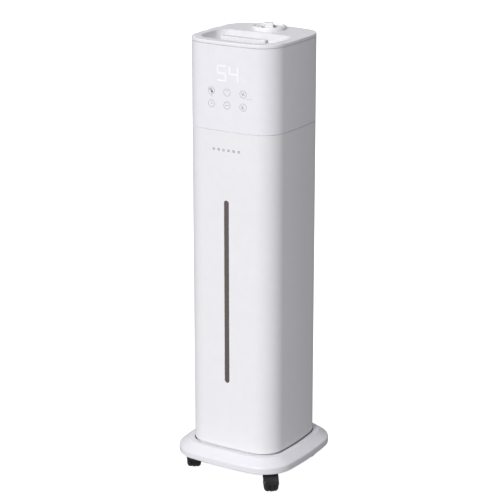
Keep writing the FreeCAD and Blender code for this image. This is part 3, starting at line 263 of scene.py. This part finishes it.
def steel(name, colour=(0.56, 0.56, 0.58), rough=0.3):
    """Zinc-plated steel with turning marks and small spots."""
    material, tree, principled, coords = shader(name)
    principled.inputs["Metallic"].default_value = 1.0
    marks = noise(tree, coords, 900, 3, stretch=(1, 1, 6))
    spots = noise(tree, coords, 300, 4)
    tree.links.new(blend_colours(tree, spread(tree, spots, 0, 1), scaled(colour, 0.82), colour),
                   principled.inputs["Base Color"])
    tree.links.new(spread(tree, spots, rough - 0.06, rough + 0.16), principled.inputs["Roughness"])
    add_bumps(tree, principled, [(marks, 0.15, 0.00006)])
    return material


def rubber(name, colour, rough=0.62):
    """Matt rubber with a soft bloom."""
    material, tree, principled, coords = shader(name)
    bloom = noise(tree, coords, 90, 5)
    tree.links.new(blend_colours(tree, spread(tree, bloom, 0, 1), colour, scaled(colour, 1.25)),
                   principled.inputs["Base Color"])
    tree.links.new(spread(tree, bloom, rough - 0.08, rough + 0.1), principled.inputs["Roughness"])
    add_bumps(tree, principled, [(noise(tree, coords, 1800, 3), 0.15, 0.0001)])
    return material


def smoked_acrylic(name):
    """Polished smoked strip: deep brown, paler towards the top, with faint ripples."""
    material, tree, principled, coords = shader(name)
    split = tree.nodes.new("ShaderNodeSeparateXYZ")
    tree.links.new(coords, split.inputs[0])
    cloud = noise(tree, coords, 30, 3, stretch=(1, 1, 0.2))
    height = spread(tree, split.outputs["Z"], 0.25, 0.75, 0.22, 0.63)
    mixed = tree.nodes.new("ShaderNodeMath")
    mixed.operation = "ADD"
    tree.links.new(height, mixed.inputs[0])
    tree.links.new(spread(tree, cloud, -0.2, 0.2), mixed.inputs[1])
    deep, pale = (0.098, 0.080, 0.076), (0.120, 0.101, 0.097)
    tree.links.new(blend_colours(tree, mixed.outputs[0], deep, pale),
                   principled.inputs["Base Color"])
    tree.links.new(spread(tree, noise(tree, coords, 120, 4), 0.1, 0.2),
                   principled.inputs["Roughness"])
    principled.inputs["Coat Weight"].default_value = 0.4
    principled.inputs["Coat Roughness"].default_value = 0.05
    add_bumps(tree, principled, [(cloud, 0.1, 0.0004)])
    return material


def foam(name, colour):
    """Open-cell filter foam, with painted shade in the pore hollows."""
    material, tree, principled, coords = shader(name)
    cells = tree.nodes.new("ShaderNodeTexVoronoi")
    cells.inputs["Scale"].default_value = 900
    tree.links.new(coords, cells.inputs["Vector"])
    # Painted shade: each cell's hollow fades to a third of the foam colour, standing in for the shade inside the
    # pores.
    tree.links.new(blend_colours(tree, spread(tree, cells.outputs["Distance"], 0, 1, 0.1, 0.6),
                                 scaled(colour, 0.3), colour), principled.inputs["Base Color"])
    principled.inputs["Roughness"].default_value = 0.9
    add_bumps(tree, principled, [(cells.outputs["Distance"], 0.8, 0.0008)])
    return material


def board(name):
    """Green solder mask with a faint weave and copper pours."""
    material, tree, principled, coords = shader(name)
    pours = tree.nodes.new("ShaderNodeTexBrick")
    pours.inputs["Scale"].default_value = 60
    pours.inputs["Color1"].default_value = (0.02, 0.13, 0.06, 1)
    pours.inputs["Color2"].default_value = (0.03, 0.17, 0.08, 1)
    pours.inputs["Mortar"].default_value = (0.05, 0.24, 0.12, 1)
    tree.links.new(coords, pours.inputs["Vector"])
    tree.links.new(pours.outputs["Color"], principled.inputs["Base Color"])
    tree.links.new(spread(tree, noise(tree, coords, 500), 0.25, 0.4), principled.inputs["Roughness"])
    add_bumps(tree, principled, [(noise(tree, coords, 2500), 0.1, 0.00005)])
    return material


def lamp(name, colour, strength):
    """Light that shines through the moulding, a little uneven as a real digit is."""
    material, tree, principled, coords = shader(name)
    uneven = spread(tree, noise(tree, coords, 180, 2), 0.96, 1)
    shade = blend_colours(tree, uneven, scaled(colour, 0.9), colour)
    tree.links.new(shade, principled.inputs["Base Color"])
    tree.links.new(shade, principled.inputs["Emission Color"])
    principled.inputs["Emission Strength"].default_value = strength
    tree.links.new(spread(tree, noise(tree, coords, 400, 2), 0.32, 0.42),
                   principled.inputs["Roughness"])
    add_bumps(tree, principled, [(noise(tree, coords, 2600, 2), 0.05, 0.00006)])
    return material


def printed(name, colour):
    """Pad-printed ink with slightly broken coverage."""
    material, tree, principled, coords = shader(name)
    cover = spread(tree, noise(tree, coords, 1400, 4), 0, 1, 0.25, 0.6)
    tree.links.new(blend_colours(tree, cover, scaled(colour, 1.12), colour),
                   principled.inputs["Base Color"])
    tree.links.new(spread(tree, noise(tree, coords, 700), 0.4, 0.5),
                   principled.inputs["Roughness"])
    add_bumps(tree, principled, [(noise(tree, coords, 2000, 2), 0.1, 0.00005)])
    return material


def make_materials():
    return {
        "shell_white": moulded("shell_white", (0.83, 0.825, 0.845)),
        "head_white": moulded("head_white", (0.835, 0.825, 0.865)),
        "tray_white": moulded("tray_white", (0.765, 0.76, 0.80), rough=0.36),
        "cover_white": moulded("cover_white", (0.84, 0.835, 0.865), rough=0.34),
        "nozzle_white": moulded("nozzle_white", (0.84, 0.84, 0.85), rough=0.26, grain=1800,
                                depth=0.03),
        "base_white": moulded("base_white", (0.78, 0.78, 0.80), rough=0.45),
        "inner_white": moulded("inner_white", (0.80, 0.80, 0.78), rough=0.5),
        "grille_white": moulded("grille_white", (0.78, 0.78, 0.8), rough=0.42),
        "strainer_white": moulded("strainer_white", (0.74, 0.75, 0.77), rough=0.45),
        "zinc_steel": steel("zinc_steel"),
        "socket_black": worn_black("socket_black", (0.04, 0.04, 0.042)),
        "caster_black": worn_black("caster_black", (0.011, 0.011, 0.013), rough=0.34, amount=0.12),
        "wheel_black": worn_black("wheel_black", (0.010, 0.010, 0.012), rough=0.40, amount=0.2),
        "foot_rubber": rubber("foot_rubber", (0.06, 0.06, 0.062)),
        "smoked_window": smoked_acrylic("smoked_window"),
        "seal_grey": rubber("seal_grey", (0.42, 0.42, 0.43), 0.5),
        "transducer_metal": steel("transducer_metal", (0.6, 0.59, 0.56), 0.25),
        "float_blue": moulded("float_blue", (0.16, 0.3, 0.55), rough=0.55),
        "black_plastic": worn_black("black_plastic", (0.03, 0.03, 0.032), amount=0.0),
        "filter_foam": foam("filter_foam", (0.2, 0.21, 0.22)),
        "lamp_white": lamp("lamp_white", (0.9, 0.92, 1.0), 0.2),
        "pad_grey": rubber("pad_grey", (0.2, 0.2, 0.21)),
        "board_green": board("board_green"),
        "pump_grey": moulded("pump_grey", (0.22, 0.23, 0.25), rough=0.45),
        "impeller_white": moulded("impeller_white", (0.7, 0.7, 0.7)),
        "silicone_tube": rubber("silicone_tube", (0.66, 0.68, 0.7), 0.35),
        "digit_glow": lamp("digit_glow", (0.915, 0.92, 0.945), 0.02),
        "unit_glow": lamp("unit_glow", (0.87, 0.87, 0.90), 0.02),
        "ink_grey": printed("ink_grey", (0.34, 0.34, 0.37)),
        "ink_pale": printed("ink_pale", (0.55, 0.55, 0.59)),
        "ink_dark": printed("ink_dark", (0.07, 0.07, 0.08)),
    }


def dress_cad_nodes(materials):
    """Give every carried-over CAD node its material and smooth, creased shading."""
    slots = {item["node"]: item["material_slot"] for item in frame["record"]["subparts"]}
    for name, piece in frame["nodes"].items():
        slot = "head_white" if name == "head_shell" else slots[name]
        piece.data.materials.clear()
        piece.data.materials.append(materials[slot])
        piece.data.polygons.foreach_set("use_smooth", [True] * len(piece.data.polygons))
        piece.data.set_sharp_from_angle(angle=math.radians(28))


# ---------------------------------------------------------------- flat marks on the front

# A mark is sunk a little into the face, so that it has no gap behind it, and stands a little proud.
MARK_SUNK = 0.05 * MM
MARK_PROUD = 0.12 * MM

def front_y(across):
    """The tower's bowed front face at a distance from the middle."""
    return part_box("head_shell")[0].y + SIDE_RADIUS - math.sqrt(SIDE_RADIUS ** 2 - across ** 2)


def strip_ring(points_in, points_out):
    """Pair two closed loops into quads, as (x, z) faces."""
    count = len(points_in)
    faces = []
    for index in range(count):
        after = (index + 1) % count
        faces.append([points_in[index], points_in[after], points_out[after], points_out[index]])
    return faces


def circle_points(x, z, radius, count=40, start=0.0, sweep=2 * math.pi):
    steps = count if sweep >= 2 * math.pi else count + 1
    return [(x + radius * math.cos(start + sweep * index / count),
             z + radius * math.sin(start + sweep * index / count)) for index in range(steps)]


def ring_faces(x, z, radius, width, gap=0.0):
    """A round outline; gap, in radians, leaves it open at the top."""
    if gap == 0:
        return strip_ring(circle_points(x, z, radius - width), circle_points(x, z, radius))
    start, sweep = math.pi / 2 + gap / 2, 2 * math.pi - gap
    inner = circle_points(x, z, radius - width, 40, start, sweep)
    outer = circle_points(x, z, radius, 40, start, sweep)
    return [[inner[i], inner[i + 1], outer[i + 1], outer[i]] for i in range(40)]


def disc_faces(x, z, radius, count=24):
    points = circle_points(x, z, radius, count)
    return [[(x, z), points[index], points[(index + 1) % count]] for index in range(count)]


def bar_faces(start, end, width):
    """A straight stroke with round ends, as one face."""
    (x0, z0), (x1, z1) = start, end
    angle = math.atan2(z1 - z0, x1 - x0)
    radius = width / 2
    head = circle_points(x1, z1, radius, 8, angle - math.pi / 2, math.pi)
    tail = circle_points(x0, z0, radius, 8, angle + math.pi / 2, math.pi)
    return [head + tail]


def mark(name, faces, material, body="head"):
    """A thin closed piece that lies on the bowed front face; faces are in millimetres (x, z)."""
    work = bmesh.new()
    for face in faces:
        corners = [work.verts.new((x * MM, front_y(x * MM) + MARK_SUNK, z * MM)) for x, z in face]
        work.faces.new(corners)
    bmesh.ops.remove_doubles(work, verts=work.verts, dist=0.002 * MM)
    bmesh.ops.recalc_face_normals(work, faces=work.faces)
    raised = bmesh.ops.extrude_face_region(work, geom=work.faces[:])
    top = [item for item in raised["geom"] if isinstance(item, bmesh.types.BMVert)]
    bmesh.ops.translate(work, verts=top, vec=(0, -MARK_PROUD - MARK_SUNK, 0))
    bmesh.ops.recalc_face_normals(work, faces=work.faces)
    return finish_mesh(name, work, material, body, smooth=False)


def finish_mesh(name, work, material, body, smooth=True):
    """Turn a bmesh into an object with its material, and let it ride on its body."""
    mesh = bpy.data.meshes.new(name)
    work.to_mesh(mesh)
    work.free()
    mesh.materials.append(material)
    mesh.polygons.foreach_set("use_smooth", [smooth] * len(mesh.polygons))
    if smooth:
        mesh.set_sharp_from_angle(angle=math.radians(30))
    piece = bpy.data.objects.new(name, mesh)
    bpy.context.scene.collection.objects.link(piece)
    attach(piece, body)
    return piece


def millimetres(node):
    """A CAD node's lowest and highest corners, in millimetres."""
    low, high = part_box(node)
    return low / MM, high / MM


def digit_faces(left, low, wide, high, stroke, lit):
    """Seven-segment digit: each lit bar is a stroke with mitred ends."""
    mid = low + high / 2
    right, top = left + wide, low + high
    half = stroke / 2
    gap = 0.25
    outer_cut = 0.6
    trim = 0.35
    ends = {
        "a": ((left, top - half), (right, top - half)),
        "b": ((right - half, mid), (right - half, top)),
        "c": ((right - half, low), (right - half, mid)),
        "d": ((left, low + half), (right, low + half)),
        "e": ((left + half, low), (left + half, mid)),
        "f": ((left + half, mid), (left + half, top)),
        "g": ((left, mid), (right, mid)),
    }
    faces = []
    for key in lit:
        (x0, z0), (x1, z1) = ends[key]
        if z0 == z1:
            x0, x1 = x0 + half + gap, x1 - half - gap
            faces.append([(x0 - half, z0), (x0, z0 - half), (x1, z0 - half),
                          (x1 + half, z0), (x1, z0 + half), (x0, z0 + half)])
        else:
            cut_low = half if z0 > low else outer_cut
            cut_high = half if z1 < top else outer_cut
            z0, z1 = z0 + cut_low * trim, z1 - cut_high * trim
            faces.append([(x0, z0), (x0 + half, z0 + half), (x0 + half, z1 - half),
                          (x0, z1), (x0 - half, z1 - half), (x0 - half, z0 + half)])
    return faces


def make_display(materials):
    """Humidity reading of two lit digits with a small, fainter percent sign."""
    low, high = millimetres("digit_module")
    border_left, border_low, border_high = 5.3, 0.4, 1.4
    left, base = low.x + border_left, low.z + border_low
    tall = high.z - low.z - border_low - border_high
    wide, stroke, pitch = 22.6, 3.7, 28.2
    glow = materials["digit_glow"]
    mark("digit_tens", digit_faces(left, base, wide, tall, stroke, "afgcd"), glow)
    mark("digit_units", digit_faces(left + pitch, base, wide, tall, stroke, "fgbc"), glow)
    near, far = left + 59.4, left + 66.2
    ring, ring_line = 1.9, 0.7
    sign = ring_faces(near, base + 8.4, ring, ring_line)
    sign += ring_faces(far, base + 3.2, ring, ring_line)
    sign += bar_faces((near, base + 1.6), (far, base + 10.2), 0.8)
    mark("percent_sign", sign, materials["unit_glow"])


# Printed key rings, in millimetres, and the touch pads that lie behind them.
KEY_RADIUS = 7.85
KEY_LINE = 0.8
PAD_RADIUS = 5.0


def key_ring(x, z, gap=0.0):
    return ring_faces(x, z, KEY_RADIUS, KEY_LINE, gap)


def mist_key(x, z, ink, dark):
    """Mist key: a drop and two puffs, printed dark inside the ring."""
    mark("key_mist_ring", key_ring(x, z), ink)
    drop_x, drop_z, drop = x + 1.5, z - 1.9, 2.3
    tip_base, tip_high, tip_lean = drop_z + 0.8, drop_z + 4.4, 0.8
    tip = [(drop_x - drop * 0.9, tip_base), (drop_x + drop * 0.9, tip_base),
           (drop_x - tip_lean, tip_high)]
    puffs = bar_faces((x - 3.9, z + 3.0), (x - 1.6, z + 0.7), 1.5)
    puffs += bar_faces((x - 1.2, z + 4.1), (x + 0.3, z + 3.3), 1.2)
    mark("key_mist_sign", disc_faces(drop_x, drop_z, drop) + [tip] + puffs, dark)


def power_key(x, z, ink):
    """Power key: an open ring and an upright bar."""
    bar = bar_faces((x, z + 1.4), (x, z + 6.6), KEY_LINE)
    mark("key_power", key_ring(x, z, 0.5) + bar, ink)


def fan_key(x, z, ink):
    """Fan key: four short blades round the middle."""
    root, tip, sweep = 1.0, 4.2, 0.25
    blades = []
    for number in range(4):
        angle = math.pi / 4 + number * math.pi / 2
        near = (x + root * math.cos(angle), z + root * math.sin(angle))
        far = (x + tip * math.cos(angle + sweep), z + tip * math.sin(angle + sweep))
        blades += bar_faces(near, far, 1.3)
    mark("key_fan", key_ring(x, z) + blades, ink)


def timer_key(x, z, ink):
    """Timer key: two clock hands."""
    hands = bar_faces((x, z), (x, z + 4.2), KEY_LINE)
    hands += bar_faces((x, z), (x + 3.4, z), KEY_LINE)
    mark("key_timer", key_ring(x, z) + hands, ink)


def level_key(x, z, ink):
    """Output level key: one level bar."""
    mark("key_level", key_ring(x, z) + bar_faces((x - 3.9, z), (x + 3.9, z), KEY_LINE), ink)


def night_key(x, z, ink):
    """Night key: a crescent."""
    steps = 24
    outer = circle_points(x, z, 3.7, steps, math.radians(50), math.radians(260))
    inner = circle_points(x + 1.7, z + 1.0, 3.0, steps, math.radians(62), math.radians(236))
    crescent = [[outer[i], outer[i + 1], inner[i + 1], inner[i]] for i in range(steps)]
    mark("key_night", key_ring(x, z) + crescent, ink)


def make_keys(materials):
    """Six printed touch keys over the pads behind the wall, and two faint captions."""
    low, high = millimetres("touch_pads")
    left, right = low.x + PAD_RADIUS, high.x - PAD_RADIUS
    middle = (left + right) / 2
    top, bottom = high.z - PAD_RADIUS, low.z + PAD_RADIUS
    ink, pale = materials["ink_grey"], materials["ink_pale"]
    mist_key(left, top, ink, materials["ink_dark"])
    power_key(middle, top, ink)
    fan_key(right, top, ink)
    timer_key(left, bottom, ink)
    level_key(middle, bottom, ink)
    night_key(right, bottom, ink)
    under = top - KEY_RADIUS - 3
    mark("key_caption_left", bar_faces((left - 3, under), (left + 3, under), 0.8), pale)
    mark("key_caption_right", bar_faces((right + 8, under + 2), (right + 19, under + 2), 0.9), pale)


def make_plain_badge(materials):
    """A row of six small rings below the tank's upper edge."""
    height = millimetres("tank_shell")[1].z - 38.3
    first, pitch = -30.1, 11.9
    radius, line = 2.5, 0.9
    for number in range(6):
        across = first + number * pitch
        mark("badge_dot_%d" % (number + 1), ring_faces(across, height, radius, line),
             materials["ink_dark"], body="tower")


# ---------------------------------------------------------------- turned pieces

WHEEL_SUNK = 4.2 * MM
TRAY_SCREW_RADIUS = 4 * MM
GRIP_SCREW_RADIUS = 3.2 * MM
FOOT_RADIUS = 11 * MM


def round_outline(size):
    """The same radius at every angle."""
    return lambda angle: size


def ring_loop(work, axes, radius_at, height, count=48):
    """One closed ring of vertices: radius_at gives the radius at each angle."""
    centre, first, second, along = axes
    loop = []
    for index in range(count):
        angle = 2 * math.pi * index / count
        outwards = first * math.cos(angle) + second * math.sin(angle)
        loop.append(work.verts.new(centre + along * height + outwards * radius_at(angle)))
    return loop


def skin(work, loops):
    """Join rings of equal count, one after another, and close both ends."""
    for low, high in zip(loops, loops[1:]):
        count = len(low)
        for index in range(count):
            after = (index + 1) % count
            work.faces.new([low[index], low[after], high[after], high[index]])
    work.faces.new(loops[0])
    work.faces.new(loops[-1])


def axes_about(centre, along):
    """A centre with two directions square to an axis, and the axis."""
    along = Vector(along).normalized()
    first = along.orthogonal().normalized()
    return centre, first, along.cross(first), along


def turn_profile(work, axes, profile):
    """Turn (radius, height) points about the axis into a closed solid."""
    skin(work, [ring_loop(work, axes, round_outline(radius), height) for radius, height in profile])


def wheel_profile(rim, half):
    """Caster wheel from its inner to its outer face: tread with a groove, round shoulder, hub."""
    shoulder = rim * 0.34
    points = [(rim * 0.14, -half), (rim - 1.6 * MM, -half), (rim - 0.4 * MM, -half + 0.5 * MM),
              (rim, -half + 1.4 * MM), (rim, -half + 3.6 * MM), (rim - 0.6 * MM, -half + 4.0 * MM),
              (rim - 0.6 * MM, -half + 4.8 * MM), (rim, -half + 5.2 * MM)]
    steps = 8
    for step in range(steps + 1):
        angle = math.pi / 2 * step / steps
        points.append((rim - shoulder + shoulder * math.cos(angle),
                       half - shoulder + shoulder * math.sin(angle)))
    points += [(rim * 0.58, half), (rim * 0.55, half - 1.2 * MM), (rim * 0.36, half - 1.4 * MM),
               (rim * 0.34, half - 0.3 * MM), (rim * 0.20, half - 0.2 * MM),
               (rim * 0.16, half - 0.9 * MM)]
    return points


def wheel_ribs(work, axes, rim, half):
    """Six low ribs between the wheel's hub and its rim."""
    centre, first, second, along = axes
    foot_level, foot_half = half - 1.5 * MM, 0.75 * MM
    crest_level, crest_half = half - 0.5 * MM, 0.5 * MM
    for number in range(6):
        angle = math.pi / 3 * number
        outwards = first * math.cos(angle) + second * math.sin(angle)
        aside = along.cross(outwards)
        corners = []
        for level, wide in ((foot_level, foot_half), (crest_level, crest_half)):
            for reach, side in ((0.35, -1), (0.56, -1), (0.56, 1), (0.35, 1)):
                corners.append(work.verts.new(centre + along * level + outwards * rim * reach
                                              + aside * wide * side))
        work.faces.new(corners[:4])
        work.faces.new(corners[4:])
        for index in range(4):
            after = (index + 1) % 4
            work.faces.new([corners[index], corners[after],
                            corners[4 + after], corners[4 + index]])


def make_wheels(materials):
    """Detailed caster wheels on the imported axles."""
    for joint in frame["joints"]:
        name = joint["child"]
        if not name.startswith("wheel_"):
            continue
        low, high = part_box(name)
        middle = (low + high) / 2
        axle = Vector(joint["pos_m"])
        along = (middle - axle).normalized()
        rim = (high.z - low.z) / 2
        half = (middle - axle).length - WHEEL_SUNK
        work = bmesh.new()
        axes = axes_about(middle, along)
        turn_profile(work, axes, wheel_profile(rim, half))
        wheel_ribs(work, axes, rim, half)
        bmesh.ops.recalc_face_normals(work, faces=work.faces)
        piece = finish_mesh("tread_" + name, work, materials["wheel_black"], name)
        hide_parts(name)


def cross_reach(arm, half_width):
    """Radius of a plus sign's outline at an angle."""
    def reach(angle):
        near = (angle + math.pi / 4) % (math.pi / 2) - math.pi / 4
        if abs(math.tan(near)) < half_width / arm:
            return arm / math.cos(near)
        return half_width / abs(math.sin(near))
    return reach


def pan_screw(work, centre, radius, height):
    """Pan head screw that faces down, with a cross recess."""
    axes = axes_about(centre, (0, 0, -1))
    rings = [(round_outline(radius), 0), (round_outline(radius), height * 0.35),
             (round_outline(radius * 0.93), height * 0.72), (round_outline(radius * 0.74), height),
             (cross_reach(radius * 0.56, radius * 0.13), height),
             (cross_reach(radius * 0.44, radius * 0.1), height * 0.4)]
    skin(work, [ring_loop(work, axes, outline, level, 64) for outline, level in rings])


def make_screws(materials):
    """Cross-head screws in place of the plain heads under the tray and the grip."""
    for node, body, radius, two_rows in (("tray_screws", "tray", TRAY_SCREW_RADIUS, True),
                                         ("grip_screws", "head", GRIP_SCREW_RADIUS, False)):
        low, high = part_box(node)
        rows = (low.y + radius, high.y - radius) if two_rows else ((low.y + high.y) / 2,)
        work = bmesh.new()
        for x in (low.x + radius, high.x - radius):
            for y in rows:
                pan_screw(work, Vector((x, y, high.z)), radius, high.z - low.z)
        bmesh.ops.recalc_face_normals(work, faces=work.faces)
        piece = finish_mesh("cross_" + node, work, materials["zinc_steel"], body)
        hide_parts(node)


def make_feet(materials):
    """Rubber feet with a rounded rim and two grip grooves underneath."""
    low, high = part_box("tower_feet")
    radius = FOOT_RADIUS
    tall = high.z - low.z
    groove = 0.8 * MM
    profile = [(radius * 0.3, 0), (radius, 0), (radius, tall - 1.4 * MM),
               (radius - 0.5 * MM, tall - 0.4 * MM), (radius - 1.5 * MM, tall)]
    for inner in (0.7, 0.4):
        edge = radius * inner
        profile += [(edge + 1.0 * MM, tall), (edge + 0.7 * MM, tall - groove),
                    (edge - 0.3 * MM, tall - groove), (edge - 0.6 * MM, tall)]
    profile.append((radius * 0.1, tall))
    work = bmesh.new()
    for x in (low.x + radius, high.x - radius):
        for y in (low.y + radius, high.y - radius):
            turn_profile(work, axes_about(Vector((x, y, high.z)), (0, 0, -1)), profile)
    bmesh.ops.recalc_face_normals(work, faces=work.faces)
    piece = finish_mesh("grooved_feet", work, materials["foot_rubber"], "tower")
    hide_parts("tower_feet")


# ---------------------------------------------------------------- build

make_stage()
MATERIALS = make_materials()
dress_cad_nodes(MATERIALS)
make_display(MATERIALS)
make_keys(MATERIALS)
make_plain_badge(MATERIALS)
make_wheels(MATERIALS)
make_screws(MATERIALS)
make_feet(MATERIALS)
